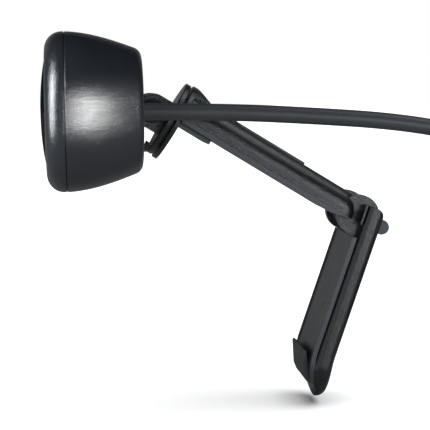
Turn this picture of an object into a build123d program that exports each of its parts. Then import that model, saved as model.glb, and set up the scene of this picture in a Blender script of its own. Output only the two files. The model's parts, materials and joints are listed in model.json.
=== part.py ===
from build123d import *
import math
import os

os.makedirs("parts", exist_ok=True)

# A clip-on webcam in millimetres.  +Z up, the lens looks along -X, +Y is the camera's left-to-right.
# The origin is the middle of the rubber pad under the arm, where the arm rests on a screen's top edge.

# ---- driving dimensions -------------------------------------------------------------------------
FIT = 0.05                    # radial clearance of a pin that turns
WALL = 1.7                    # head shells

HEAD_W, HEAD_H = 73.0, 31.8
HEAD_Z = 5.5                  # height of the lens axis
SEAM_X, BACK_X = -26.4, -11.17
BEZEL_DEPTH, BEZEL_EDGE_R = 3.9, 3.5
SEAM_CHAMFER = 0.2
OUTLINE_R = 14.6              # corner radius of the head's outline
HEAD_SECTIONS = [             # x, half width, half height of the rear shell
    (SEAM_X, HEAD_W / 2, HEAD_H / 2),
    (-21.0, 35.6, 15.2),
    (-16.0, 33.6, 13.8),
    (BACK_X, 30.8, 12.1),
]
FASCIA_W, FASCIA_H, FASCIA_R = 59.0, 21.0, 10.3
FASCIA_BULGE_X = -31.15       # front of the lens cover at its middle
LENS_R = 3.6
SENSOR_X = -19.0              # front face of the circuit board
SIDE_POST_Y = 22.0            # screws that hold the rear shell
SMALL_PORT_Y = 14.0           # microphone and status light

ARM_SLOPE = 31.9              # degrees that the arm falls towards the rear
ARM_HALF_W = 9.4
ARM_BOTTOM, ARM_PARTING, ARM_TOP = 1.05, 2.1, 6.9
FLANGE_FACE = -3.55           # where the arm leaves its swivel disc
FLANGE_T, FLANGE_R = 1.1, 8.8
SWIVEL_Q = 0.4                # height of the swivel axis over the pad
NECK_DISC_R, NECK_DISC_T = 8.5, 1.3
DISC_EDGE_R = 0.25
WASHER_T = 0.3
CHEEK_IN, CHEEK_OUT, CHEEK_R = 3.2, 5.2, 3.75
TILT_P, TILT_Q = -9.75, 0.0   # tilt axis, along the arm and above the pad
TILT_PIN_R = 0.95
KNUCKLE_R = 2.2
FOLD_P, FOLD_Q = 39.4, 3.55   # fold axis
FOLD_PIN_R = 1.2
ARM_KNUCKLE_R, ARM_KNUCKLE_Y = 3.6, 5.6
TOOTH_COUNT, TOOTH_R = 40, 0.13   # fine grooves along the arm's knuckle
ARM_EDGE_R = 3.6

LEG_LEAN = 19.5               # degrees from upright
LEG_EAR_R, LEG_EAR_IN, LEG_EAR_OUT = 4.5, 5.9, 8.1
LEG_BACK = 5.0                # outer face of the leg, from the fold axis
LINER_FRONT, LINER_BACK = -0.25, 0.75
LEG_TOP, LEG_START, LEG_BEND, LEG_END = -2.7, 4.6, 30.0, 40.9
LEG_TIP = (42.4, 8.15)        # the shell's outer curve runs on to here, past its rounded end
LEG_HALF_W = 10.6
LEG_EDGE_R = 1.8
TUBE_R = 1.5                  # rounding of the side walls next to the liner's rim
BUMPER_S, BUMPER_T, BUMPER_R = 0.8, 5.55, 1.6

CORD_R = 1.75
CORD_Y, CORD_Z = -15.0, 5.2
FLOOR_Z = -59.0               # the level of the leg's foot, where the spare cord lies
COIL_X, COIL_Y = 92.0, 10.0
COIL_IN_R, COIL_OUT_R, COIL_H = 15.5, 26.5, 13.1
TIE_T, TIE_W = 0.5, 9.0

# ---- reference planes ---------------------------------------------------------------------------
slope = math.radians(ARM_SLOPE)
lean = math.radians(LEG_LEAN)
ARM_DIR = (math.cos(slope), 0, -math.sin(slope))
ARM_UP = (math.sin(slope), 0, math.cos(slope))
LEG_DIR = (-math.sin(lean), 0, -math.cos(lean))
LEG_OUT = (math.cos(lean), 0, -math.sin(lean))


def arm_point(p, q, y=0.0):
    """A point p along the arm and q above its pad."""
    return (p * ARM_DIR[0] + q * ARM_UP[0], y, p * ARM_DIR[2] + q * ARM_UP[2])


ARM_SIDE = Plane(origin=(0, 0, 0), x_dir=ARM_DIR, z_dir=(0, -1, 0))
FOLD_AXIS = arm_point(FOLD_P, FOLD_Q)
LEG_SIDE = Plane(origin=FOLD_AXIS, x_dir=LEG_DIR, z_dir=(0, -1, 0))
LEG_FACE = Plane(origin=FOLD_AXIS, x_dir=LEG_DIR, z_dir=LEG_OUT)
LEG_SECTION = Plane(origin=FOLD_AXIS, x_dir=(0, 1, 0), z_dir=LEG_DIR)


def across_arm(p, q=SWIVEL_Q):
    """The plane square to the arm at p, centred on the swivel axis."""
    return Plane(origin=arm_point(p, q), x_dir=(0, 1, 0), z_dir=ARM_DIR)


def across_head(x, y=0.0, z=HEAD_Z):
    """The plane square to the lens axis at x."""
    return Plane(origin=(x, y, z), x_dir=(0, 1, 0), z_dir=(1, 0, 0))


def finish(builder, name):
    """Names a finished piece and writes it."""
    builder.part.label = name
    export_step(builder.part, f"parts/{name}.step")


# ---- head: shells -------------------------------------------------------------------------------
def outline_radius(half_h):
    """The outline's corner radius keeps the same share of its height."""
    return OUTLINE_R * half_h / (HEAD_H / 2)


POCKET_HALF_Y, POCKET_HALF_Z, POCKET_Z = 7.2, 3.3, 5.45
GLAND_HOLE_R = 2.9
POST_TUBE_R, POST_HEAD_R, POST_SHANK_R, POST_PILOT_R = 2.8, 2.1, 0.9, 0.75
POST_MEET_X, POST_SEAT_X = -20.0, -17.5
INNER_BACK_X = BACK_X - WALL

with BuildPart() as back_shell:
    for x, half_w, half_h in HEAD_SECTIONS:
        with BuildSketch(across_head(x)):
            RectangleRounded(2 * half_w, 2 * half_h, outline_radius(half_h))
    loft()
    fillet(back_shell.faces().sort_by(Axis.X)[-1].edges(), 2.2)
    chamfer(back_shell.faces().sort_by(Axis.X)[0].edges(), SEAM_CHAMFER)
    for x, half_w, half_h in HEAD_SECTIONS:
        with BuildSketch(across_head(min(x, INNER_BACK_X))):
            RectangleRounded(
                2 * (half_w - WALL), 2 * (half_h - WALL), outline_radius(half_h) - WALL
            )
    loft(mode=Mode.SUBTRACT)
    with BuildSketch(across_head(POST_MEET_X)):
        with Locations((SIDE_POST_Y, 0), (-SIDE_POST_Y, 0)):
            Circle(POST_TUBE_R)
    extrude(amount=INNER_BACK_X - POST_MEET_X)
    with BuildSketch(across_head(POST_SEAT_X)):
        with Locations((SIDE_POST_Y, 0), (-SIDE_POST_Y, 0)):
            Circle(POST_HEAD_R)
    extrude(amount=BACK_X - POST_SEAT_X, mode=Mode.SUBTRACT)
    with BuildSketch(across_head(POST_MEET_X)):
        with Locations((SIDE_POST_Y, 0), (-SIDE_POST_Y, 0)):
            Circle(POST_SHANK_R)
    extrude(amount=BACK_X - POST_MEET_X, mode=Mode.SUBTRACT)
    with BuildSketch(across_head(INNER_BACK_X, 0, POCKET_Z)):
        Rectangle(2 * POCKET_HALF_Y, 2 * POCKET_HALF_Z)
        with Locations((CORD_Y, CORD_Z - POCKET_Z)):
            Circle(GLAND_HOLE_R)
    extrude(amount=WALL, mode=Mode.SUBTRACT)
finish(back_shell, "back_shell")

BEZEL_FRONT_X = SEAM_X - BEZEL_DEPTH
BEZEL_LIP_X = BEZEL_FRONT_X + 1.5
with BuildPart() as front_bezel:
    with BuildSketch(across_head(BEZEL_FRONT_X)):
        RectangleRounded(HEAD_W, HEAD_H, OUTLINE_R)
    extrude(amount=BEZEL_DEPTH)
    fillet(front_bezel.faces().sort_by(Axis.X)[0].edges(), BEZEL_EDGE_R)
    chamfer(front_bezel.faces().sort_by(Axis.X)[-1].edges(), SEAM_CHAMFER)
    with BuildSketch(across_head(BEZEL_LIP_X)):
        RectangleRounded(HEAD_W - 2 * WALL, HEAD_H - 2 * WALL, OUTLINE_R - WALL)
    extrude(amount=SEAM_X - BEZEL_LIP_X, mode=Mode.SUBTRACT)
    with BuildSketch(across_head(BEZEL_FRONT_X)):
        RectangleRounded(FASCIA_W + 0.2, FASCIA_H + 0.2, FASCIA_R + 0.1)
    extrude(amount=BEZEL_DEPTH, mode=Mode.SUBTRACT)
finish(front_bezel, "front_bezel")

FASCIA_FLANGE_T = 0.8
FASCIA_EDGE_X = BEZEL_FRONT_X - 0.1
LENS_RING_R = 4.8
MIC_HOLE_R, LIGHT_R = 0.6, 1.0
with BuildPart() as lens_fascia:
    with BuildSketch(Plane.XZ) as dome_profile:
        with BuildLine():
            top = (FASCIA_EDGE_X, HEAD_Z + FASCIA_H / 2)
            bottom = (FASCIA_EDGE_X, HEAD_Z - FASCIA_H / 2)
            ThreePointArc(top, (FASCIA_BULGE_X, HEAD_Z), bottom)
            Polyline(
                bottom,
                (BEZEL_LIP_X, HEAD_Z - FASCIA_H / 2),
                (BEZEL_LIP_X, HEAD_Z + FASCIA_H / 2),
                top,
            )
        make_face()
    extrude(amount=FASCIA_W / 2, both=True)
    with BuildSketch(across_head(FASCIA_BULGE_X - 1)):
        RectangleRounded(FASCIA_W, FASCIA_H, FASCIA_R)
    extrude(amount=10, mode=Mode.INTERSECT)
    with BuildSketch(across_head(BEZEL_LIP_X)):
        RectangleRounded(FASCIA_W + 3, FASCIA_H + 3, FASCIA_R + 1.5)
    extrude(amount=FASCIA_FLANGE_T)
    with BuildSketch(across_head(FASCIA_BULGE_X - 1)):
        Circle(LENS_RING_R)
        with Locations((SMALL_PORT_Y, 0)):
            Circle(MIC_HOLE_R)
        with Locations((-SMALL_PORT_Y, 0)):
            Circle(LIGHT_R)
    extrude(amount=10, mode=Mode.SUBTRACT)
finish(lens_fascia, "lens_fascia")

# ---- head: optics and electronics ---------------------------------------------------------------
CHASSIS_X = BEZEL_LIP_X + FASCIA_FLANGE_T
CHASSIS_T = 1.2
MIC_R, MIC_T = 2.0, 2.2
with BuildPart() as chassis:
    with BuildSketch(across_head(CHASSIS_X)):
        RectangleRounded(HEAD_W - 2 * WALL - 0.2, HEAD_H - 2 * WALL - 0.2, OUTLINE_R - WALL - 0.1)
    extrude(amount=CHASSIS_T)
    with BuildSketch(across_head(CHASSIS_X)):
        with Locations((SIDE_POST_Y, 0), (-SIDE_POST_Y, 0)):
            Circle(2.3)
    extrude(amount=POST_MEET_X - CHASSIS_X)
    with BuildSketch(across_head(CHASSIS_X)):
        Circle(LENS_RING_R)
        with Locations((SMALL_PORT_Y, 0)):
            Circle(MIC_R)
        with Locations((-SMALL_PORT_Y, 0)):
            Circle(LIGHT_R)
    extrude(amount=CHASSIS_T, mode=Mode.SUBTRACT)
    with BuildSketch(across_head(POST_MEET_X)):
        with Locations((SIDE_POST_Y, 0), (-SIDE_POST_Y, 0)):
            Circle(POST_PILOT_R)
    extrude(amount=-5, mode=Mode.SUBTRACT)
finish(chassis, "chassis")

with BuildPart() as lens_ring:
    with BuildSketch(across_head(FASCIA_BULGE_X - 0.35)):
        Circle(LENS_RING_R)
        Circle(LENS_R, mode=Mode.SUBTRACT)
    extrude(amount=2.2)
    chamfer(lens_ring.edges().filter_by(GeomType.CIRCLE).group_by(Axis.X)[0], 0.3)
finish(lens_ring, "lens_ring")

with BuildPart() as lens_glass:
    with BuildSketch(across_head(FASCIA_BULGE_X + 0.35)):
        Circle(LENS_R)
    extrude(amount=0.8)
finish(lens_glass, "lens_glass")

HOLDER_X, HOLDER_W, HOLDER_GAP = -24.0, 10.4, 1.2
APERTURE_X = FASCIA_BULGE_X + 1.85
ELEMENT_X = APERTURE_X + 1.0
APERTURE_R, ELEMENT_R = 1.4, 2.6
with BuildPart() as lens_barrel:
    with BuildSketch(across_head(APERTURE_X)):
        Circle(LENS_R)
        Circle(APERTURE_R, mode=Mode.SUBTRACT)
    extrude(amount=ELEMENT_X - APERTURE_X)
    with BuildSketch(across_head(ELEMENT_X)):
        Circle(LENS_R)
        Circle(ELEMENT_R, mode=Mode.SUBTRACT)
    extrude(amount=SENSOR_X - HOLDER_GAP - ELEMENT_X)
finish(lens_barrel, "lens_barrel")

with BuildPart() as lens_element:
    with BuildSketch(across_head(ELEMENT_X)):
        Circle(ELEMENT_R)
    extrude(amount=1.2)
finish(lens_element, "lens_element")

with BuildPart() as lens_holder:
    with BuildSketch(across_head(HOLDER_X)):
        RectangleRounded(HOLDER_W, HOLDER_W, 1.2)
        Circle(LENS_R, mode=Mode.SUBTRACT)
    extrude(amount=SENSOR_X - HOLDER_GAP - HOLDER_X)
    with BuildSketch(across_head(SENSOR_X - HOLDER_GAP)):
        RectangleRounded(HOLDER_W, HOLDER_W, 1.2)
        Rectangle(7, 7, mode=Mode.SUBTRACT)
    extrude(amount=HOLDER_GAP)
finish(lens_holder, "lens_holder")

with BuildPart() as image_sensor:
    with BuildSketch(across_head(SENSOR_X - 0.9)):
        Rectangle(6, 6)
    extrude(amount=0.9)
finish(image_sensor, "image_sensor")

BOARD_T = 1.2
BOARD_SCREWS = [(15.0, 5), (-15.0, 5)]
SMALL_HEAD_R, SMALL_HEAD_T, SMALL_SHANK_R = 1.5, 0.8, 0.8
BOARD_THREAD = 2.5            # length of screw inside its post
with BuildPart() as circuit_board:
    with BuildSketch(across_head(SENSOR_X)):
        RectangleRounded(36, 17, 1)
        with Locations(*BOARD_SCREWS):
            Circle(SMALL_SHANK_R, mode=Mode.SUBTRACT)
    extrude(amount=BOARD_T)
finish(circuit_board, "circuit_board")

with BuildPart() as video_chip:
    with BuildSketch(across_head(SENSOR_X + BOARD_T)):
        with Locations((5, 0)):
            Rectangle(7, 7)
    extrude(amount=1.0)
finish(video_chip, "video_chip")

with BuildPart() as board_screws:
    with BuildSketch(across_head(SENSOR_X + BOARD_T)):
        with Locations(*BOARD_SCREWS):
            Circle(SMALL_HEAD_R)
    extrude(amount=SMALL_HEAD_T)
    with BuildSketch(across_head(SENSOR_X + BOARD_T)):
        with Locations(*BOARD_SCREWS):
            Circle(SMALL_SHANK_R)
    extrude(amount=-(BOARD_T + BOARD_THREAD))
finish(board_screws, "board_screws")

with BuildPart() as board_posts:
    with BuildSketch(across_head(CHASSIS_X + CHASSIS_T)):
        with Locations(*BOARD_SCREWS):
            Circle(1.8)
    extrude(amount=SENSOR_X - CHASSIS_X - CHASSIS_T)
    with BuildSketch(across_head(SENSOR_X)):
        with Locations(*BOARD_SCREWS):
            Circle(SMALL_SHANK_R)
    extrude(amount=-BOARD_THREAD, mode=Mode.SUBTRACT)
finish(board_posts, "board_posts")

with BuildPart() as microphone:
    with BuildSketch(across_head(CHASSIS_X)):
        with Locations((SMALL_PORT_Y, 0)):
            Circle(MIC_R)
    extrude(amount=MIC_T)
finish(microphone, "microphone")

LIGHT_FRONT_X = FASCIA_BULGE_X + 0.45
with BuildPart() as status_light:
    with BuildSketch(across_head(LIGHT_FRONT_X)):
        with Locations((-SMALL_PORT_Y, 0)):
            Circle(LIGHT_R)
    extrude(amount=SENSOR_X - LIGHT_FRONT_X)
finish(status_light, "status_light")

HOUSING_HEAD_T = 1.5
with BuildPart() as housing_screws:
    with BuildSketch(across_head(POST_SEAT_X)):
        with Locations((SIDE_POST_Y, 0), (-SIDE_POST_Y, 0)):
            Circle(POST_HEAD_R - 0.15)
    extrude(amount=HOUSING_HEAD_T)
    with BuildSketch(across_head(POST_SEAT_X)):
        with Locations((SIDE_POST_Y, 0), (-SIDE_POST_Y, 0)):
            Circle(POST_PILOT_R)
    extrude(amount=-7)
    with BuildSketch(across_head(POST_SEAT_X + HOUSING_HEAD_T)):
        with Locations((SIDE_POST_Y, 0), (-SIDE_POST_Y, 0)):
            Rectangle(2.2, 0.5)
            Rectangle(0.5, 2.2)
    extrude(amount=-0.8, mode=Mode.SUBTRACT)
finish(housing_screws, "housing_screws")

# ---- head: tilt bracket and cord outlet ---------------------------------------------------------
TILT_AXIS = arm_point(TILT_P, TILT_Q)
COLLAR_X = -10.2
SLOT_R, SLOT_OUT = 4.1, 5.95
KNUCKLE_HALF_Y = 2.9
TILT_SIDE = Plane(origin=TILT_AXIS, x_dir=(1, 0, 0), z_dir=(0, -1, 0))
BRACKET_SCREW_Z, BRACKET_FLANGE_T = 6.0, 1.6
with BuildPart() as tilt_bracket:
    with BuildSketch(across_head(INNER_BACK_X, 0, POCKET_Z)):
        Rectangle(2 * POCKET_HALF_Y, 2 * POCKET_HALF_Z)
    extrude(amount=COLLAR_X - INNER_BACK_X)
    with BuildSketch(across_head(INNER_BACK_X - BRACKET_FLANGE_T, 0, POCKET_Z)):
        RectangleRounded(18, 16, 1.5)
        with Locations((0, BRACKET_SCREW_Z), (0, -BRACKET_SCREW_Z)):
            Circle(SMALL_SHANK_R, mode=Mode.SUBTRACT)
    extrude(amount=BRACKET_FLANGE_T)
    with BuildSketch(TILT_SIDE.offset(KNUCKLE_HALF_Y)):
        Circle(SLOT_R)
    extrude(amount=SLOT_OUT - KNUCKLE_HALF_Y, mode=Mode.SUBTRACT)
    with BuildSketch(TILT_SIDE.offset(-KNUCKLE_HALF_Y)):
        Circle(SLOT_R)
    extrude(amount=KNUCKLE_HALF_Y - SLOT_OUT, mode=Mode.SUBTRACT)
    with BuildSketch(TILT_SIDE):
        Circle(KNUCKLE_R)
        with Locations((-1.8, 0)):
            Rectangle(3.6, 2 * KNUCKLE_R)
    extrude(amount=KNUCKLE_HALF_Y, both=True)
    with BuildSketch(TILT_SIDE):
        Circle(TILT_PIN_R + FIT)
    extrude(amount=SLOT_OUT, both=True, mode=Mode.SUBTRACT)
finish(tilt_bracket, "tilt_bracket")

with BuildPart() as bracket_screws:
    with BuildSketch(across_head(INNER_BACK_X - BRACKET_FLANGE_T, 0, POCKET_Z)):
        with Locations((0, BRACKET_SCREW_Z), (0, -BRACKET_SCREW_Z)):
            Circle(SMALL_HEAD_R)
    extrude(amount=-SMALL_HEAD_T)
    with BuildSketch(across_head(INNER_BACK_X - BRACKET_FLANGE_T, 0, POCKET_Z)):
        with Locations((0, BRACKET_SCREW_Z), (0, -BRACKET_SCREW_Z)):
            Circle(SMALL_SHANK_R)
    extrude(amount=BRACKET_FLANGE_T)
finish(bracket_screws, "bracket_screws")

with BuildPart() as cord_gland:
    with BuildSketch(across_head(INNER_BACK_X, CORD_Y, CORD_Z)):
        Circle(GLAND_HOLE_R)
    extrude(amount=WALL)
    with BuildSketch(across_head(INNER_BACK_X, CORD_Y, CORD_Z)):
        Circle(GLAND_HOLE_R + 1.2)
    extrude(amount=-2)
finish(cord_gland, "cord_gland")

# ---- neck: fork, disc and swivel screw ----------------------------------------------------------
WASHER_P = FLANGE_FACE - FLANGE_T - WASHER_T
NECK_BACK_P = WASHER_P - NECK_DISC_T
SCREW_R, SCREW_HEAD_R, SCREW_HEAD_T = 1.5, 2.3, 0.65
NUT_T = 1.1
GRIP_R, GRIP_T = 8.75, 0.8
BOSS_R, BOSS_T = 3.25, 0.15
with BuildPart() as neck_fork:
    with BuildSketch(across_arm(NECK_BACK_P)):
        Circle(NECK_DISC_R)
    extrude(amount=NECK_DISC_T)
    fillet(neck_fork.edges(), DISC_EDGE_R)
    with BuildSketch(across_arm(NECK_BACK_P)):
        Circle(SCREW_R)
    extrude(amount=NECK_DISC_T, mode=Mode.SUBTRACT)
    for side in (1, -1):
        with BuildSketch(ARM_SIDE.offset(side * CHEEK_IN)):
            with Locations((TILT_P, TILT_Q)):
                Circle(CHEEK_R)
            with Locations(((TILT_P + NECK_BACK_P) / 2, TILT_Q)):
                Rectangle(NECK_BACK_P - TILT_P, 2 * CHEEK_R)
        extrude(amount=side * (CHEEK_OUT - CHEEK_IN))
        with BuildSketch(ARM_SIDE.offset(side * CHEEK_OUT)):
            with Locations((TILT_P, TILT_Q)):
                Circle(BOSS_R)
        extrude(amount=side * BOSS_T)
    with BuildSketch(across_arm(NECK_BACK_P)):
        Circle(GRIP_R)
        Circle(GRIP_R - 1.1, mode=Mode.SUBTRACT)
        with Locations((0, -GRIP_R)):
            Rectangle(11, 4.5, mode=Mode.INTERSECT)
    extrude(amount=-GRIP_T)
    with BuildSketch(ARM_SIDE):
        with Locations((TILT_P, TILT_Q)):
            Circle(TILT_PIN_R)
    extrude(amount=CHEEK_OUT + BOSS_T, both=True, mode=Mode.SUBTRACT)
finish(neck_fork, "neck_fork")

PIN_HEAD_R, PIN_HEAD_T = 2.6, 0.25
with BuildPart() as tilt_pin:
    with BuildSketch(ARM_SIDE):
        with Locations((TILT_P, TILT_Q)):
            Circle(TILT_PIN_R)
    extrude(amount=CHEEK_OUT + BOSS_T, both=True)
    for side in (1, -1):
        with BuildSketch(ARM_SIDE.offset(side * (CHEEK_OUT + BOSS_T))):
            with Locations((TILT_P, TILT_Q)):
                Circle(PIN_HEAD_R)
        extrude(amount=side * PIN_HEAD_T)
finish(tilt_pin, "tilt_pin")

with BuildPart() as friction_washer:
    with BuildSketch(across_arm(WASHER_P)):
        Circle(6)
        Circle(SCREW_R, mode=Mode.SUBTRACT)
    extrude(amount=WASHER_T)
finish(friction_washer, "friction_washer")

with BuildPart() as swivel_screw:
    with BuildSketch(across_arm(FLANGE_FACE - SCREW_HEAD_T)):
        Circle(SCREW_HEAD_R)
    extrude(amount=SCREW_HEAD_T)
    with BuildSketch(across_arm(FLANGE_FACE - SCREW_HEAD_T)):
        Circle(SCREW_R)
    extrude(amount=NECK_BACK_P - NUT_T - (FLANGE_FACE - SCREW_HEAD_T))
    with BuildSketch(across_arm(FLANGE_FACE)):
        Rectangle(3.2, 0.6)
    extrude(amount=-0.35, mode=Mode.SUBTRACT)
finish(swivel_screw, "swivel_screw")

with BuildPart() as swivel_nut:
    with BuildSketch(across_arm(NECK_BACK_P)):
        RegularPolygon(2.7, 6)
        Circle(SCREW_R, mode=Mode.SUBTRACT)
    extrude(amount=-NUT_T)
finish(swivel_nut, "swivel_nut")

# ---- arm ----------------------------------------------------------------------------------------
EAR_SLOT_R = LEG_EAR_R + 0.35
CHEEK_WALL_Y = 8.3
CHAMFER_LOW, CHAMFER_MID, CHAMFER_HIGH = (33.4, ARM_BOTTOM), (38.3, ARM_PARTING), (39.4, 2.4)
NOSE, TOP_END = (38.6, 4.7), (34.5, ARM_TOP)
CAVITY = (2.5, 31.0, 7.7, 5.2)  # from, to, half width, top
PLATE_SCREW_P = (9.0, 27.0)
PLATE_BOSS_R, PLATE_SCREW_R = 1.9, 0.75
PLATE_HEAD_R, PLATE_HEAD_T = 1.5, 0.5
KNUCKLE_ROOT_P = 33.0         # where the arm's roof meets its knuckle

with BuildPart() as arm_shell:
    with BuildSketch(ARM_SIDE):
        with BuildLine():
            Polyline(TOP_END, (FLANGE_FACE, ARM_TOP), (FLANGE_FACE, ARM_PARTING), CHAMFER_MID, CHAMFER_HIGH)
            ThreePointArc(CHAMFER_HIGH, NOSE, TOP_END)
        make_face()
    extrude(amount=ARM_HALF_W, both=True)
    long_edges = arm_shell.edges().filter_by(lambda e: (e % 0.5).cross(Vector(*ARM_DIR)).length < 1e-6)
    top_level = Vector(*arm_point(0, ARM_TOP)).dot(Vector(*ARM_UP))
    fillet(long_edges.filter_by(lambda e: e.center().dot(Vector(*ARM_UP)) > top_level - 0.01), ARM_EDGE_R)
    with BuildSketch(ARM_SIDE):
        with Locations(((CAVITY[0] + CAVITY[1]) / 2, (ARM_PARTING + CAVITY[3]) / 2)):
            Rectangle(CAVITY[1] - CAVITY[0], CAVITY[3] - ARM_PARTING)
    extrude(amount=CAVITY[2], both=True, mode=Mode.SUBTRACT)
    with BuildSketch(ARM_SIDE):
        with Locations((FOLD_P, FOLD_Q)):
            Circle(EAR_SLOT_R)
    extrude(amount=CHEEK_WALL_Y, both=True, mode=Mode.SUBTRACT)
    with BuildSketch(ARM_SIDE):
        with Locations(((KNUCKLE_ROOT_P + FOLD_P) / 2, (ARM_PARTING + ARM_TOP) / 2)):
            Rectangle(FOLD_P - KNUCKLE_ROOT_P, ARM_TOP - ARM_PARTING)
        with Locations((FOLD_P, FOLD_Q)):
            Circle(ARM_KNUCKLE_R)
            with PolarLocations(ARM_KNUCKLE_R, TOOTH_COUNT):
                Circle(TOOTH_R, mode=Mode.SUBTRACT)
    extrude(amount=ARM_KNUCKLE_Y, both=True)
    with BuildSketch(ARM_SIDE):
        with Locations((FOLD_P, FOLD_Q)):
            Circle(FOLD_PIN_R + FIT)
    extrude(amount=ARM_KNUCKLE_Y, both=True, mode=Mode.SUBTRACT)
    boss_plane = Plane(origin=arm_point(0, ARM_PARTING), x_dir=ARM_DIR, z_dir=ARM_UP)
    with BuildSketch(boss_plane):
        with Locations(*[(p, 0) for p in PLATE_SCREW_P]):
            Circle(PLATE_BOSS_R)
    extrude(amount=CAVITY[3] - ARM_PARTING)
    with BuildSketch(boss_plane):
        with Locations(*[(p, 0) for p in PLATE_SCREW_P]):
            Circle(PLATE_SCREW_R)
    extrude(amount=2.6, mode=Mode.SUBTRACT)
    with BuildPart(mode=Mode.PRIVATE) as flange:
        with BuildSketch(across_arm(FLANGE_FACE - FLANGE_T)):
            Circle(FLANGE_R)
        extrude(amount=FLANGE_T)
        fillet(flange.faces().sort_by(Axis.X)[0].edges(), DISC_EDGE_R)
    add(flange.part)
    with BuildSketch(ARM_SIDE, mode=Mode.PRIVATE) as gusset_profile:
        with BuildLine():
            Polyline(
                (FLANGE_FACE - 0.3, 6.0), (FLANGE_FACE - 0.3, 9.2), (FLANGE_FACE + 0.35, 9.1),
                (0.3, 7.7), (2.6, ARM_TOP), (2.6, 6.0), close=True,
            )
        make_face()
    gusset = extrude(gusset_profile.sketch, amount=5.5, both=True, mode=Mode.PRIVATE)
    with BuildSketch(across_arm(FLANGE_FACE - FLANGE_T), mode=Mode.PRIVATE) as disc_outline:
        Circle(FLANGE_R)
    add(gusset & extrude(disc_outline.sketch, amount=12, mode=Mode.PRIVATE))
    with BuildSketch(across_arm(FLANGE_FACE)):
        Circle(SCREW_HEAD_R + FIT)
    extrude(amount=-(SCREW_HEAD_T + FIT), mode=Mode.SUBTRACT)
    with BuildSketch(across_arm(FLANGE_FACE)):
        Circle(SCREW_R + FIT)
    extrude(amount=-FLANGE_T, mode=Mode.SUBTRACT)
finish(arm_shell, "arm_shell")

with BuildPart() as arm_plate:
    with BuildSketch(ARM_SIDE):
        with BuildLine():
            Polyline(
                (FLANGE_FACE, ARM_BOTTOM), CHAMFER_LOW, CHAMFER_MID, (FLANGE_FACE, ARM_PARTING),
                close=True,
            )
        make_face()
    extrude(amount=ARM_HALF_W, both=True)
    with BuildSketch(ARM_SIDE):
        with Locations((FOLD_P, FOLD_Q)):
            Circle(EAR_SLOT_R)
    extrude(amount=CHEEK_WALL_Y, both=True, mode=Mode.SUBTRACT)
    below_plate = Plane(origin=arm_point(0, ARM_BOTTOM), x_dir=ARM_DIR, z_dir=ARM_UP)
    with BuildSketch(below_plate):
        with Locations(*[(p, 0) for p in PLATE_SCREW_P]):
            Circle(PLATE_HEAD_R)
    extrude(amount=PLATE_HEAD_T, mode=Mode.SUBTRACT)
    with BuildSketch(below_plate):
        with Locations(*[(p, 0) for p in PLATE_SCREW_P]):
            Circle(PLATE_SCREW_R)
    extrude(amount=2, mode=Mode.SUBTRACT)
finish(arm_plate, "arm_plate")

with BuildPart() as arm_screws:
    with BuildSketch(below_plate):
        with Locations(*[(p, 0) for p in PLATE_SCREW_P]):
            Circle(PLATE_HEAD_R)
    extrude(amount=PLATE_HEAD_T)
    with BuildSketch(below_plate):
        with Locations(*[(p, 0) for p in PLATE_SCREW_P]):
            Circle(PLATE_SCREW_R)
    extrude(amount=3.4)
finish(arm_screws, "arm_screws")

with BuildPart() as arm_strip:
    with BuildSketch(Plane(origin=arm_point(15.3, ARM_TOP), x_dir=ARM_DIR, z_dir=ARM_UP)):
        RectangleRounded(17.6, 11.4, 1.2)
    extrude(amount=0.45)
    fillet(arm_strip.faces().sort_by(lambda f: f.center().dot(Vector(*ARM_UP)))[-1].edges(), 0.2)
finish(arm_strip, "arm_strip")

PAD_END, PAD_W = 3.95, 16
with BuildPart() as rest_pad:
    with BuildSketch(Plane(origin=arm_point((FLANGE_FACE + PAD_END) / 2, 0), x_dir=ARM_DIR, z_dir=ARM_UP)):
        Rectangle(PAD_END - FLANGE_FACE, PAD_W)
    extrude(amount=ARM_BOTTOM)
finish(rest_pad, "rest_pad")

# ---- leg ----------------------------------------------------------------------------------------
LIP_BASE_S = 37.2
RIM = 0.3                     # the liner's rim stands this high round its flat face
TOP_R = 2.2                   # rounded tops of the shell's side walls
WALL_FRONT, WALL_STEP_S = 0.3, 1.6


def leg_plan(inset):
    """The leg's outline seen square on, with its rounded foot."""
    half = LEG_HALF_W - inset
    foot = 33.0
    with BuildSketch() as plan:
        with BuildLine():
            Polyline((foot, -half), (LEG_TOP - 2, -half), (LEG_TOP - 2, half), (foot, half))
            EllipticalCenterArc((foot, 0), LEG_END - foot - inset, half, start_angle=-90, arc_size=180)
        make_face()
    return plan.sketch


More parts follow.
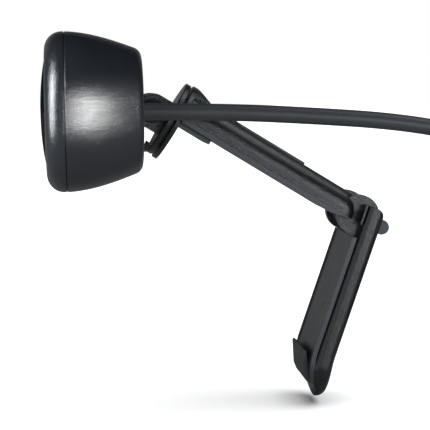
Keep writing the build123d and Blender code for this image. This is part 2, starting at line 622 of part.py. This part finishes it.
with BuildPart() as leg_shell:
    with BuildSketch(LEG_SIDE):
        with BuildLine():
            inner = TangentArc((LEG_BEND, LINER_BACK), (39.0, 4.0), tangent=(1, 0))
            Polyline(inner @ 1, (42.4, 5.8), LEG_TIP)
            TangentArc((LEG_BEND, LEG_BACK), LEG_TIP, tangent=(1, 0))
            Polyline(
                (LEG_BEND, LEG_BACK), (LEG_TOP, LEG_BACK), (LEG_TOP, WALL_FRONT), (WALL_STEP_S, WALL_FRONT),
                (WALL_STEP_S, LINER_BACK), (LEG_BEND, LINER_BACK),
            )
        make_face()
    extrude(amount=LEG_HALF_W, both=True)
    with BuildSketch(LEG_FACE.offset(-1)):
        add(leg_plan(0))
    extrude(amount=12, mode=Mode.INTERSECT)
    outer_face = leg_shell.faces().filter_by(GeomType.PLANE).sort_by(SortBy.AREA)[-1]
    fillet(outer_face.edges().sort_by(SortBy.LENGTH)[-2:], LEG_EDGE_R)
    with BuildSketch(LEG_SECTION.offset(LEG_TOP)):
        with Locations(*[(side * (LEG_HALF_W - TUBE_R / 2), LINER_BACK + TUBE_R / 2) for side in (1, -1)]):
            Rectangle(TUBE_R, TUBE_R)
        with Locations(*[(side * (LEG_HALF_W - TUBE_R), LINER_BACK + TUBE_R) for side in (1, -1)]):
            Circle(TUBE_R, mode=Mode.SUBTRACT)
    extrude(amount=LEG_END - LEG_TOP, mode=Mode.SUBTRACT)
    with BuildSketch(LEG_SIDE):
        with Locations((LEG_TOP + TOP_R / 2, LEG_BACK - TOP_R / 2)):
            Rectangle(TOP_R, TOP_R)
        with Locations((LEG_TOP + TOP_R, LEG_BACK - TOP_R)):
            Circle(TOP_R, mode=Mode.SUBTRACT)
    extrude(amount=LEG_HALF_W, both=True, mode=Mode.SUBTRACT)
    with BuildSketch(LEG_SIDE):
        with Locations((LEG_START - 5, 3)):
            Rectangle(10, 8)
    extrude(amount=LEG_EAR_IN, both=True, mode=Mode.SUBTRACT)
    for side in (1, -1):
        with BuildSketch(LEG_SIDE.offset(side * LEG_EAR_IN)):
            Circle(LEG_EAR_R)
        extrude(amount=side * (LEG_EAR_OUT - LEG_EAR_IN))
    with BuildSketch(LEG_SIDE):
        Circle(FOLD_PIN_R)
    extrude(amount=LEG_EAR_OUT, both=True, mode=Mode.SUBTRACT)
    with BuildSketch(LEG_SIDE):
        with Locations((BUMPER_S, BUMPER_T)):
            Circle(BUMPER_R)
    extrude(amount=LEG_EAR_OUT, both=True, mode=Mode.SUBTRACT)
finish(leg_shell, "leg_shell")

with BuildPart() as leg_liner:
    with BuildSketch(LEG_SIDE):
        with BuildLine():
            face = TangentArc((LEG_BEND, LINER_FRONT), (LIP_BASE_S, 1.6), tangent=(1, 0))
            Polyline(
                face @ 1, (LIP_BASE_S + 1.2, 7.0), (LEG_START, 7.0), (LEG_START, LINER_FRONT),
                (LEG_BEND, LINER_FRONT),
            )
        make_face()
    extrude(amount=LEG_HALF_W, both=True)
    with BuildSketch(LEG_FACE.offset(-1)):
        add(leg_plan(0.3))
    extrude(amount=12, mode=Mode.INTERSECT)
    with BuildSketch(LEG_SIDE):
        with BuildLine():
            inner = TangentArc((LEG_BEND, LINER_BACK), (39.0, 4.0), tangent=(1, 0))
            Polyline(inner @ 1, (45, 9), (LEG_TOP, 9), (LEG_TOP, LINER_BACK), (LEG_BEND, LINER_BACK))
        make_face()
    extrude(amount=LEG_HALF_W, both=True, mode=Mode.SUBTRACT)
    with BuildSketch(LEG_FACE.offset(-1)):
        with BuildLine():
            half = LEG_HALF_W - 0.8
            Polyline((LEG_START, -half), (34.0, -half), (34.0, half), (LEG_START, half), close=True)
        make_face()
    extrude(amount=1 + LINER_FRONT + RIM, mode=Mode.SUBTRACT)
    with BuildSketch(LEG_FACE.offset(LINER_FRONT + RIM)):
        with Locations((21.2, -3.0)):
            SlotOverall(1.8, 0.4)
    extrude(amount=0.5, mode=Mode.SUBTRACT)
finish(leg_liner, "leg_liner")

with BuildPart() as foot_lip:
    with BuildSketch(LEG_SIDE):
        with BuildLine():
            Polyline(
                (LIP_BASE_S, 1.75), (LIP_BASE_S, 4.0), (38.4, 4.6), (38.3, 2.5), (37.6, 1.3),
                (36.3, 0.15), (31.6, -1.75), (31.1, -1.6), (31.25, -1.05), (35.8, 0.9), close=True,
            )
        make_face()
    extrude(amount=7.6, both=True)
    add(leg_shell.part, mode=Mode.SUBTRACT)
    add(leg_liner.part, mode=Mode.SUBTRACT)
finish(foot_lip, "foot_lip")

with BuildPart() as bumper_bar:
    with BuildSketch(LEG_SIDE):
        with Locations((BUMPER_S, BUMPER_T)):
            Circle(BUMPER_R)
    extrude(amount=LEG_EAR_OUT, both=True)
finish(bumper_bar, "bumper_bar")

with BuildPart() as fold_pin:
    with BuildSketch(LEG_SIDE):
        Circle(FOLD_PIN_R)
    extrude(amount=LEG_EAR_OUT, both=True)
finish(fold_pin, "fold_pin")

# ---- cord ---------------------------------------------------------------------------------------
coil_low = FLOOR_Z + TIE_T
bottom_turn = coil_low + CORD_R
top_turn = coil_low + COIL_H - CORD_R
LEAD = [
    (BACK_X, CORD_Y, CORD_Z),
    (6.0, -15.1, 4.95),
    (24.0, -15.0, 3.85),
    (41.0, -14.8, 2.5),
    (55.0, -14.6, 0.1),
    (65.5, -14.4, -5.2),
    (74.0, -14.1, -12.8),
    (81.5, -13.8, -21.8),
    (91.0, -13.0, -31.5),
    (102.7, -10.1, -39.5),
    (111.3, -2.1, -44.8),
    (COIL_X + 22.75, COIL_Y, top_turn),
]
TAIL = [
    (COIL_X - 28.0, COIL_Y, bottom_turn),
    (64.2, -1.5, FLOOR_Z + 2.0),
    (68.0, -12.4, FLOOR_Z + CORD_R),
    (75.6, -20.8, FLOOR_Z + 2.1),
    (85.6, -25.6, FLOOR_Z + 3.4),
    (96.2, -27.0, FLOOR_Z + 4.1),
]


def arc_radii(route):
    """Each arc takes 0.45 of its shorter run on both sides of the turn."""
    points = [Vector(*p) for p in route]
    radii = []
    for before, here, after in zip(points, points[1:], points[2:]):
        turn = math.radians((here - before).get_angle(after - here))
        radii.append(0.45 * min((here - before).length, (after - here).length) / math.tan(turn / 2))
    return radii


def cord_tube(route, name):
    """A tube along straight runs joined by tangent arcs."""
    radii = arc_radii(route)
    with BuildPart() as tube:
        with BuildLine() as path:
            FilletPolyline(*route, radius=radii)
        with BuildSketch(Plane(origin=path.wire() @ 0, z_dir=path.wire() % 0)):
            Circle(CORD_R)
        sweep()
    finish(tube, name)
    length = path.wire().length
    share = tube.part.volume / (math.pi * CORD_R**2 * length)
    print(name, "radii", [round(r, 1) for r in radii])
    print(name, "length", round(length, 1), "volume share", round(share, 4))


cord_tube(LEAD, "usb_cord")
cord_tube(TAIL, "cord_tail")

with BuildPart() as cord_coil:
    with BuildSketch(Plane.XY.offset(coil_low)):
        with Locations((COIL_X, COIL_Y)):
            Circle(COIL_OUT_R)
            Circle(COIL_IN_R, mode=Mode.SUBTRACT)
    extrude(amount=COIL_H)
    chamfer(cord_coil.edges().filter_by(GeomType.CIRCLE), 1.6)
finish(cord_coil, "cord_coil")

with BuildPart() as cord_tie:
    with BuildSketch(Plane.XY.offset(FLOOR_Z)):
        with Locations((COIL_X, COIL_Y - (COIL_IN_R + COIL_OUT_R) / 2)):
            Rectangle(TIE_W, COIL_OUT_R - COIL_IN_R + 2 * TIE_T)
    extrude(amount=COIL_H + 2 * TIE_T)
    chamfer(cord_tie.edges().filter_by(Axis.X), 1.6)
    add(cord_coil.part, mode=Mode.SUBTRACT)
finish(cord_tie, "cord_tie")

# ---- plug ---------------------------------------------------------------------------------------
RELIEF_L, GRIP_L, SHELL_L = 9.0, 20.0, 12.0
SHELL_W, SHELL_H, SHELL_WALL = 12.0, 4.5, 0.35
last_run = Vector(*TAIL[-1]) - Vector(*TAIL[-2])
plug_dir = Vector(last_run.X, last_run.Y, 0).normalized()
plug_side = Vector(-plug_dir.Y, plug_dir.X, 0)
plug_start = Vector(*TAIL[-1])


def across_plug(distance):
    """The plane square to the plug at a distance from the end of the cord."""
    return Plane(origin=plug_start + plug_dir * distance, x_dir=plug_side, z_dir=plug_dir)


with BuildPart() as plug_grip:
    with BuildSketch(across_plug(0)):
        Circle(CORD_R + 0.3)
    with BuildSketch(across_plug(RELIEF_L)):
        Circle(2.9)
    loft()
    with BuildSketch(across_plug(RELIEF_L)):
        RectangleRounded(15.6, 8.0, 2.2)
    extrude(amount=GRIP_L)
    with BuildSketch(across_plug(RELIEF_L + GRIP_L)):
        Rectangle(SHELL_W, SHELL_H)
    extrude(amount=-3, mode=Mode.SUBTRACT)
finish(plug_grip, "plug_grip")

with BuildPart() as plug_shell:
    with BuildSketch(across_plug(RELIEF_L + GRIP_L - 3)):
        Rectangle(SHELL_W, SHELL_H)
    extrude(amount=SHELL_L + 3)
    with BuildSketch(across_plug(RELIEF_L + GRIP_L - 2)):
        Rectangle(SHELL_W - 2 * SHELL_WALL, SHELL_H - 2 * SHELL_WALL)
    extrude(amount=SHELL_L + 2, mode=Mode.SUBTRACT)
finish(plug_shell, "plug_shell")

with BuildPart() as plug_tongue:
    with BuildSketch(across_plug(RELIEF_L + GRIP_L - 2)):
        with Locations((0, SHELL_H / 2 - SHELL_WALL - 0.95)):
            Rectangle(SHELL_W - 2 * SHELL_WALL, 1.9)
    extrude(amount=SHELL_L + 1.4)
finish(plug_tongue, "plug_tongue")
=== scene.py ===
import math

import bpy
from mathutils import Matrix, Vector
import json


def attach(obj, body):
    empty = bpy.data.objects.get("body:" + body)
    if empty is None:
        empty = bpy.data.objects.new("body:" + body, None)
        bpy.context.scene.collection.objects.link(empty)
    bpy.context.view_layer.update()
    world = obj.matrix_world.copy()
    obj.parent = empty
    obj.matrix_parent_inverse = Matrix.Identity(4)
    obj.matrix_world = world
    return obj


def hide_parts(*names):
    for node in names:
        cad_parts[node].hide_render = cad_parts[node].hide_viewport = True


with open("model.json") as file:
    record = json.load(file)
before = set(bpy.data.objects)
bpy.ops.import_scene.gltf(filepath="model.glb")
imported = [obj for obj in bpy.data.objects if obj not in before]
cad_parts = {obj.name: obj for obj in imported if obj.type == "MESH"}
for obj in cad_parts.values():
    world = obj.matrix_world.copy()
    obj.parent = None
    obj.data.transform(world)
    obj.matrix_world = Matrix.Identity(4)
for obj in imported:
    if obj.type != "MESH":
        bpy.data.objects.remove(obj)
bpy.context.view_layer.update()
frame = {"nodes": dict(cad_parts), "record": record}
NODES = frame["nodes"]
MM = 0.001

# ---- camera and cord: where things are, in millimetres ------------------------------------------
CAMERA_AT = (-24.0, -300.0, 10.8)
CAMERA_RIGHT = (0.9951, -0.0982, -0.0134)
CAMERA_FORWARD = (0.0965, 0.9909, -0.0942)
CAMERA_LENS = 116.6

FLOOR_Z = -59.0
CORD_R = 1.75
COIL_X, COIL_Y = 92.0, 10.0
TIE_T = 0.5
LEAD = [
    (-11.17, -15.0, 5.2),
    (6.0, -15.1, 4.95),
    (24.0, -15.0, 3.85),
    (41.0, -14.8, 2.5),
    (55.0, -14.6, 0.1),
    (65.5, -14.4, -5.2),
    (74.0, -14.1, -12.8),
    (81.5, -13.8, -21.8),
    (91.0, -13.0, -31.5),
    (102.7, -10.1, -39.5),
    (111.3, -2.1, -44.8),
]
TAIL = [
    (64.2, -1.5, FLOOR_Z + 2.0),
    (68.0, -12.4, FLOOR_Z + CORD_R),
    (75.6, -20.8, FLOOR_Z + 2.1),
    (85.6, -25.6, FLOOR_Z + 3.4),
    (96.2, -27.0, FLOOR_Z + 4.1),
]
# The wound lead, turn by turn from the top layer down: radius and layer.
COIL_TURNS = [
    (22.75, 3), (19.25, 3),
    (17.5, 2), (21.0, 2), (24.5, 2),
    (22.75, 1), (19.25, 1),
    (17.5, 0), (21.0, 0), (24.5, 0), (28.0, 0),
]
LAYER_RISE = 3.2
STEP_FROM, STEP_TO = 20.0, 160.0    # degrees round the coil in which a turn moves to the next
COIL_ANGLE = 3420.0                 # from the lead's arrival to the tail
POINTS_PER_TURN = 24


def metres(points):
    return [tuple(c * MM for c in p) for p in points]


# ---- camera -------------------------------------------------------------------------------------
def make_camera():
    data = bpy.data.cameras.new("camera")
    data.lens = CAMERA_LENS
    data.sensor_width = 36.0
    data.clip_start, data.clip_end = 0.01, 20.0
    camera = bpy.data.objects.new("camera", data)
    bpy.context.scene.collection.objects.link(camera)
    right, forward = Vector(CAMERA_RIGHT).normalized(), Vector(CAMERA_FORWARD).normalized()
    up = right.cross(forward)
    turn = Matrix((right, up, -forward)).transposed()
    camera.matrix_world = Matrix.Translation(Vector(CAMERA_AT) * MM) @ turn.to_4x4()
    bpy.context.scene.camera = camera


# ---- cord ---------------------------------------------------------------------------------------
def coil_points():
    """The coil's turns, each of which moves to the next one's place on the coil's far side."""
    low = FLOOR_Z + TIE_T + CORD_R
    steps = round(COIL_ANGLE / 360.0 * POINTS_PER_TURN)
    points = []
    for i in range(steps + 1):
        angle = COIL_ANGLE * i / steps
        moved, since = divmod(angle - STEP_FROM, 360.0)
        t = min(1.0, since / (STEP_TO - STEP_FROM))
        t = t * t * (3 - 2 * t)
        r0, level0 = COIL_TURNS[max(int(moved), 0)]
        r1, level1 = COIL_TURNS[max(int(moved) + 1, 0)]
        r = r0 + (r1 - r0) * t
        z = low + LAYER_RISE * (level0 + (level1 - level0) * t)
        turn = math.radians(angle)
        points.append((COIL_X + r * math.cos(turn), COIL_Y + r * math.sin(turn), z))
    return points


def make_curve(name, points, radius):
    data = bpy.data.curves.new(name, "CURVE")
    data.dimensions = "3D"
    spline = data.splines.new("NURBS")
    spline.points.add(len(points) - 1)
    for point, place in zip(spline.points, points):
        point.co = (*place, 1.0)
        point.radius = radius
    spline.order_u = 3
    spline.use_endpoint_u = True
    spline.resolution_u = 6
    data.bevel_depth = 1.0          # times each point's radius
    data.bevel_resolution = 6
    data.use_fill_caps = True
    data.resolution_u = 6
    curve = bpy.data.objects.new(name, data)
    bpy.context.scene.collection.objects.link(curve)
    return curve


def make_cord():
    points = metres(LEAD + coil_points() + TAIL)
    cord = make_curve("lead", points, CORD_R * MM)
    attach(cord, "camera_head")
    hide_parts("usb_cord", "cord_coil", "cord_tail")
    return cord


# ---- materials ----------------------------------------------------------------------------------
def new_material(name, color, roughness, **sockets):
    """A material, its tree, its shader and object coordinates in metres."""
    material = bpy.data.materials.new(name)
    material.use_nodes = True
    tree = material.node_tree
    shader = tree.nodes["Principled BSDF"]
    shader.inputs["Base Color"].default_value = (*color, 1.0)
    shader.inputs["Roughness"].default_value = roughness
    for socket, value in sockets.items():
        shader.inputs[socket.replace("_", " ")].default_value = value
    place = tree.nodes.new("ShaderNodeTexCoord").outputs["Object"]
    return material, tree, shader, place


def noise(tree, place, scale, detail=2.0, stretch=None):
    """Noise from 0 to 1. scale is in features per metre."""
    if stretch:
        mapping = tree.nodes.new("ShaderNodeMapping")
        mapping.inputs["Scale"].default_value = stretch
        tree.links.new(place, mapping.inputs["Vector"])
        place = mapping.outputs["Vector"]
    node = tree.nodes.new("ShaderNodeTexNoise")
    node.inputs["Scale"].default_value = scale
    node.inputs["Detail"].default_value = detail
    tree.links.new(place, node.inputs["Vector"])
    return node.outputs["Fac"]


def remap(tree, value, low, high, from_low=0.3, from_high=0.7):
    node = tree.nodes.new("ShaderNodeMapRange")
    for socket, number in zip(("From Min", "From Max", "To Min", "To Max"), (from_low, from_high, low, high)):
        node.inputs[socket].default_value = number
    tree.links.new(value, node.inputs["Value"])
    return node.outputs["Result"]


def blend_colors(tree, factor, first, second):
    node = tree.nodes.new("ShaderNodeMix")
    node.data_type = "RGBA"
    tree.links.new(factor, node.inputs["Factor"])
    for socket, color in zip((node.inputs[6], node.inputs[7]), (first, second)):
        if isinstance(color, tuple):
            socket.default_value = (*color, 1.0)
        else:
            tree.links.new(color, socket)
    return node.outputs[2]


def bump(tree, height, depth, normal=None):
    """Relief whose height runs from 0 to depth, in millimetres."""
    node = tree.nodes.new("ShaderNodeBump")
    node.inputs["Distance"].default_value = depth * MM
    tree.links.new(height, node.inputs["Height"])
    if normal:
        tree.links.new(normal, node.inputs["Normal"])
    return node.outputs["Normal"]


def rounded_edges(tree, radius):
    """The normal, turned on edges as if they had the radius in millimetres."""
    rounded = tree.nodes.new("ShaderNodeBevel")
    rounded.samples = 4
    rounded.inputs["Radius"].default_value = radius * MM
    return rounded.outputs["Normal"]


EDGE_COSINE, FACE_COSINE = 0.90, 0.998    # of the angle between a face and its rounded normal


def edge_mask(tree, rounded):
    """1 on edges and 0 on faces."""
    geometry = tree.nodes.new("ShaderNodeNewGeometry")
    dot = tree.nodes.new("ShaderNodeVectorMath")
    dot.operation = "DOT_PRODUCT"
    tree.links.new(rounded, dot.inputs[0])
    tree.links.new(geometry.outputs["Normal"], dot.inputs[1])
    return remap(tree, dot.outputs["Value"], 1.0, 0.0, EDGE_COSINE, FACE_COSINE)


def mix_numbers(tree, operation, first, second):
    node = tree.nodes.new("ShaderNodeMath")
    node.operation = operation
    tree.links.new(first, node.inputs[0])
    tree.links.new(second, node.inputs[1])
    return node.outputs["Value"]


MATTE_BACK = 0.5                          # roughness added on faces that look along +X
BACK_FROM, BACK_FULL = 0.90, 0.98         # the normal's X where that starts and is complete


def back_mask(tree, strength):
    """The strength on faces that look along the object's +X, and 0 on the rest."""
    normal = tree.nodes.new("ShaderNodeSeparateXYZ")
    tree.links.new(tree.nodes.new("ShaderNodeTexCoord").outputs["Normal"], normal.inputs["Vector"])
    return remap(tree, normal.outputs["X"], 0.0, strength, BACK_FROM, BACK_FULL)


def moulded(name, color, roughness, grain=2400.0, depth=0.02, edge_r=0.15, **sockets):
    """Spark-eroded plastic: fine grain, faint flow in its colour, rubbed edges, and a matte back."""
    material, tree, shader, place = new_material(name, color, roughness, **sockets)
    rounded = rounded_edges(tree, edge_r)
    worn = tuple(min(1.0, c * 1.7 + 0.006) for c in color)
    dusty = tuple(c * 1.25 + 0.001 for c in color)
    cloudy = blend_colors(tree, remap(tree, noise(tree, place, 90.0, 4.0), 0.0, 1.0), color, dusty)
    rubbing = remap(tree, noise(tree, place, 700.0, 3.0), 0.0, 0.8)
    wear = mix_numbers(tree, "MULTIPLY", edge_mask(tree, rounded), rubbing)
    tree.links.new(blend_colors(tree, wear, cloudy, worn), shader.inputs["Base Color"])
    patches = remap(tree, noise(tree, place, 160.0, 5.0), roughness - 0.02, roughness + 0.02)
    rough = mix_numbers(tree, "ADD", patches, back_mask(tree, MATTE_BACK))
    tree.links.new(rough, shader.inputs["Roughness"])
    fine = noise(tree, place, grain, 3.0)
    tree.links.new(bump(tree, fine, depth, rounded), shader.inputs["Normal"])
    return material


def polished(name, color, roughness, **sockets):
    """Gloss plastic or solder mask: smooth, with slight waviness, wiped smears and rounded edges."""
    material, tree, shader, place = new_material(name, color, roughness, **sockets)
    smears = noise(tree, place, 120.0, 4.0, stretch=(1.0, 1.0, 4.0))
    tree.links.new(remap(tree, smears, roughness, roughness + 0.12), shader.inputs["Roughness"])
    tinted = tuple(c * 1.3 + 0.002 for c in color)
    tree.links.new(blend_colors(tree, noise(tree, place, 260.0), color, tinted), shader.inputs["Base Color"])
    waves = noise(tree, place, 300.0)
    tree.links.new(bump(tree, waves, 0.004, rounded_edges(tree, 0.12)), shader.inputs["Normal"])
    return material


def turned_metal(name, color, roughness, stretch=(1.0, 12.0, 12.0)):
    """Brushed or plated metal: fine lines one way, and a spread of roughness."""
    material, tree, shader, place = new_material(name, color, roughness, Metallic=1.0)
    lines = noise(tree, place, 900.0, 3.0, stretch)
    tree.links.new(remap(tree, lines, roughness - 0.08, roughness + 0.12), shader.inputs["Roughness"])
    darker = tuple(c * 0.72 for c in color)
    stains = noise(tree, place, 400.0, 4.0)
    tree.links.new(blend_colors(tree, stains, darker, color), shader.inputs["Base Color"])
    tree.links.new(bump(tree, lines, 0.006, rounded_edges(tree, 0.1)), shader.inputs["Normal"])
    return material


def rubber(name, color, roughness, grain=2600.0, depth=0.01, **sockets):
    """Matte elastomer: soft grain and a faint bloom."""
    material, tree, shader, place = new_material(name, color, roughness, **sockets)
    grain_height = noise(tree, place, grain, 4.0)
    bloom = tuple(c * 1.5 + 0.003 for c in color)
    clouds = noise(tree, place, 210.0, 5.0)
    tree.links.new(blend_colors(tree, clouds, color, bloom), shader.inputs["Base Color"])
    tree.links.new(remap(tree, grain_height, roughness - 0.04, roughness + 0.06), shader.inputs["Roughness"])
    tree.links.new(bump(tree, grain_height, depth, rounded_edges(tree, 0.15)), shader.inputs["Normal"])
    return material


def woven(name, color, roughness, threads=1900.0):
    """Woven tape: crossing threads, each with its own tone."""
    material, tree, shader, place = new_material(name, color, roughness, Sheen_Weight=0.25)
    waves = []
    for direction in ("X", "Z"):
        wave = tree.nodes.new("ShaderNodeTexWave")
        wave.bands_direction = direction
        wave.inputs["Scale"].default_value = threads / 6.0
        wave.inputs["Distortion"].default_value = 1.2
        tree.links.new(place, wave.inputs["Vector"])
        waves.append(wave.outputs["Fac"])
    over = mix_numbers(tree, "MAXIMUM", *waves)
    pale = tuple(c * 1.9 + 0.01 for c in color)
    tree.links.new(blend_colors(tree, over, color, pale), shader.inputs["Base Color"])
    tree.links.new(bump(tree, over, 0.08), shader.inputs["Normal"])
    fuzz = noise(tree, place, 1500.0, 4.0)
    tree.links.new(remap(tree, fuzz, roughness - 0.1, roughness + 0.1), shader.inputs["Roughness"])
    return material


def glass(name, color, roughness):
    """Coated glass: clear, with a faint tint and wiped smears."""
    material, tree, shader, place = new_material(
        name, color, roughness, Transmission_Weight=0.9, IOR=1.5, Coat_Weight=0.6, Coat_Roughness=0.02
    )
    smears = noise(tree, place, 250.0, 4.0)
    tree.links.new(remap(tree, smears, roughness, roughness + 0.05), shader.inputs["Roughness"])
    return material


SATIN = {"Specular_IOR_Level": 1.0}
# Each slot in the record, with its kind of material and that kind's settings.
RECIPES = {
    "shell_plastic": (moulded, (0.0084, 0.0104, 0.0134), 0.24, dict(grain=3600.0, depth=0.09, **SATIN)),
    "plate_plastic": (moulded, (0.0672, 0.0784, 0.0924), 0.40, SATIN),
    "inner_plastic": (moulded, (0.0336, 0.0336, 0.0364), 0.55, SATIN),
    "fascia": (polished, (0.006, 0.006, 0.008), 0.10, dict(Coat_Weight=0.5, Coat_Roughness=0.04)),
    "lens_trim": (moulded, (0.0280, 0.0280, 0.0308), 0.34, dict(grain=6000.0, depth=0.005, **SATIN)),
    "lens_glass": (glass, (0.62, 0.64, 0.80), 0.02, {}),
    "sensor": (polished, (0.03, 0.03, 0.045), 0.18, {}),
    "board": (polished, (0.012, 0.085, 0.045), 0.30, {}),
    "microphone": (turned_metal, (0.62, 0.63, 0.64), 0.32, {}),
    "status_light": (polished, (0.70, 0.74, 0.77), 0.35, dict(Subsurface_Weight=0.3)),
    "screw_steel": (turned_metal, (0.30, 0.31, 0.33), 0.34, {}),
    "pin_steel": (turned_metal, (0.05, 0.052, 0.055), 0.40, {}),
    "washer": (rubber, (0.62, 0.60, 0.55), 0.45, {}),
    "rubber": (rubber, (0.0840, 0.0952, 0.1064), 0.55, SATIN),
    "cord_jacket": (rubber, (0.0476, 0.0532, 0.0588), 0.48, dict(grain=3200.0, depth=0.008, **SATIN)),
    "tie": (woven, (0.016, 0.016, 0.017), 0.80, {}),
    "plug_metal": (turned_metal, (0.68, 0.68, 0.70), 0.26, dict(stretch=(1.0, 1.0, 10.0))),
}
MATERIALS = {
    slot: make(slot, color, roughness, **settings)
    for slot, (make, color, roughness, settings) in RECIPES.items()
}


def paint_nodes():
    """Each CAD node gets the material of its slot in the record."""
    for part in frame["record"]["subparts"]:
        node = NODES[part["node"]]
        node.data.materials.clear()
        node.data.materials.append(MATERIALS[part["material_slot"]])


# ---- stage --------------------------------------------------------------------------------------
PAPER_SEEN, PAPER_THROWN = (0.92, 0.92, 0.92), (0.12, 0.12, 0.12)
FLOOR_GAP = 0.2                           # below the leg's foot and the coil, so that nothing is cut
SURROUND = 0.022                          # strength of the room's light


def paper():
    """White to look at, but it throws little light back at the object, as a small sheet would."""
    material, tree, shader, _ = new_material("floor", PAPER_SEEN, 0.9, Specular_IOR_Level=0.0)
    path = tree.nodes.new("ShaderNodeLightPath")
    seen = blend_colors(tree, path.outputs["Is Camera Ray"], PAPER_THROWN, PAPER_SEEN)
    tree.links.new(seen, shader.inputs["Base Color"])
    return material


def make_stage():
    bpy.ops.mesh.primitive_plane_add(size=8.0, location=(0, 0, (FLOOR_Z - FLOOR_GAP) * MM))
    floor = bpy.context.object
    floor.name = "floor"
    floor.data.materials.append(paper())
    lit = bpy.data.collections.new("floor_light")
    lit.objects.link(floor)
    world = bpy.data.worlds.new("studio")
    bpy.context.scene.world = world
    world.use_nodes = True
    tree = world.node_tree
    surround = tree.nodes["Background"]
    surround.inputs["Color"].default_value = (0.95, 0.97, 1.0, 1.0)
    surround.inputs["Strength"].default_value = SURROUND
    backdrop = tree.nodes.new("ShaderNodeBackground")
    backdrop.inputs["Color"].default_value = (1.0, 1.0, 1.0, 1.0)
    path = tree.nodes.new("ShaderNodeLightPath")
    mix = tree.nodes.new("ShaderNodeMixShader")
    tree.links.new(path.outputs["Is Camera Ray"], mix.inputs["Fac"])
    tree.links.new(surround.outputs["Background"], mix.inputs[1])
    tree.links.new(backdrop.outputs["Background"], mix.inputs[2])
    tree.links.new(mix.outputs["Shader"], tree.nodes["World Output"].inputs["Surface"])
    bpy.context.scene.view_settings.view_transform = "Standard"
    return lit


def add_light(name, data, place):
    light = bpy.data.objects.new(name, data)
    bpy.context.scene.collection.objects.link(light)
    light.location = Vector(place) * MM
    return light


def flag(light, state):
    """Keeps a light to the head's outside ("INCLUDE") or off it ("EXCLUDE"), as a flag does in a studio."""
    group = bpy.data.collections.new(light.name + "_flag")
    for name in HEAD_OUTSIDE:
        group.objects.link(NODES[name])
    light.light_linking.receiver_collection = group
    for entry in group.collection_objects:
        entry.light_linking.link_state = state


def area_light(target, name, direction, distance, size, power, color):
    """A soft box seen from the target in a direction, at a distance in millimetres, facing the target."""
    data = bpy.data.lights.new(name, "AREA")
    data.shape = "RECTANGLE"
    data.size, data.size_y = size
    data.energy = power
    data.color = color
    towards = Vector(direction).normalized()
    light = add_light(name, data, Vector(target) + distance * towards)
    light.rotation_euler = (-towards).to_track_quat("-Z", "Y").to_euler()
    return light


def sun_light(name, direction, strength, angle):
    data = bpy.data.lights.new(name, "SUN")
    data.energy = strength
    data.angle = math.radians(angle)
    light = add_light(name, data, (0, 0, 500))
    light.rotation_euler = (-Vector(direction)).to_track_quat("-Z", "Y").to_euler()
    return light


HEAD_OUTSIDE = ("back_shell", "front_bezel", "lens_fascia")
HEAD_SIDE = (-21.4, -35.5, 5.6)
CLIP = (15.0, -9.0, -15.0)
WHITE, COOL = (1.0, 1.0, 1.0), (0.92, 0.96, 1.0)
# Name, direction from the target, distance in millimetres, size in metres, power, colour.
HEAD_LIGHTS = [
    ("side_box", (0.46, -0.89, 0.0), 450, (0.06, 0.08), 2.21, WHITE),
    ("front_strip", (-0.95, -0.31, 0.0), 500, (0.11, 0.80), 11.5, COOL),
    ("head_rear", (0.88, -0.45, 0.1), 600, (0.20, 0.45), 0.32, COOL),
]
CLIP_LIGHTS = [
    ("clip_front", (0.15, -0.97, -0.05), 450, (0.35, 0.35), 0.15, COOL),
    ("leg_front", (0.48, -0.86, -0.18), 450, (0.16, 0.30), 1.07, COOL),
    ("clip_top", (0.55, -0.05, 0.83), 600, (0.4, 0.4), 0.71, COOL),
    ("fill", (-0.6, -0.8, 0.3), 700, (0.5, 0.5), 0.54, COOL),
]


def make_lights(floor_only):
    overhead = sun_light("overhead", (0.1, -0.1, 1.0), 5.0, 90)
    overhead.light_linking.receiver_collection = floor_only
    for light in HEAD_LIGHTS:
        flag(area_light(HEAD_SIDE, *light), "INCLUDE")
    for light in CLIP_LIGHTS:
        flag(area_light(CLIP, *light), "EXCLUDE")
    area_light((0, 0, 0), "backdrop", (0.0, 1.0, 0.0), 600, (0.9, 0.6), 0.36, WHITE)


make_camera()
cord = make_cord()
cord.data.materials.append(MATERIALS["cord_jacket"])
paint_nodes()
make_lights(make_stage())

bpy.context.view_layer.update()
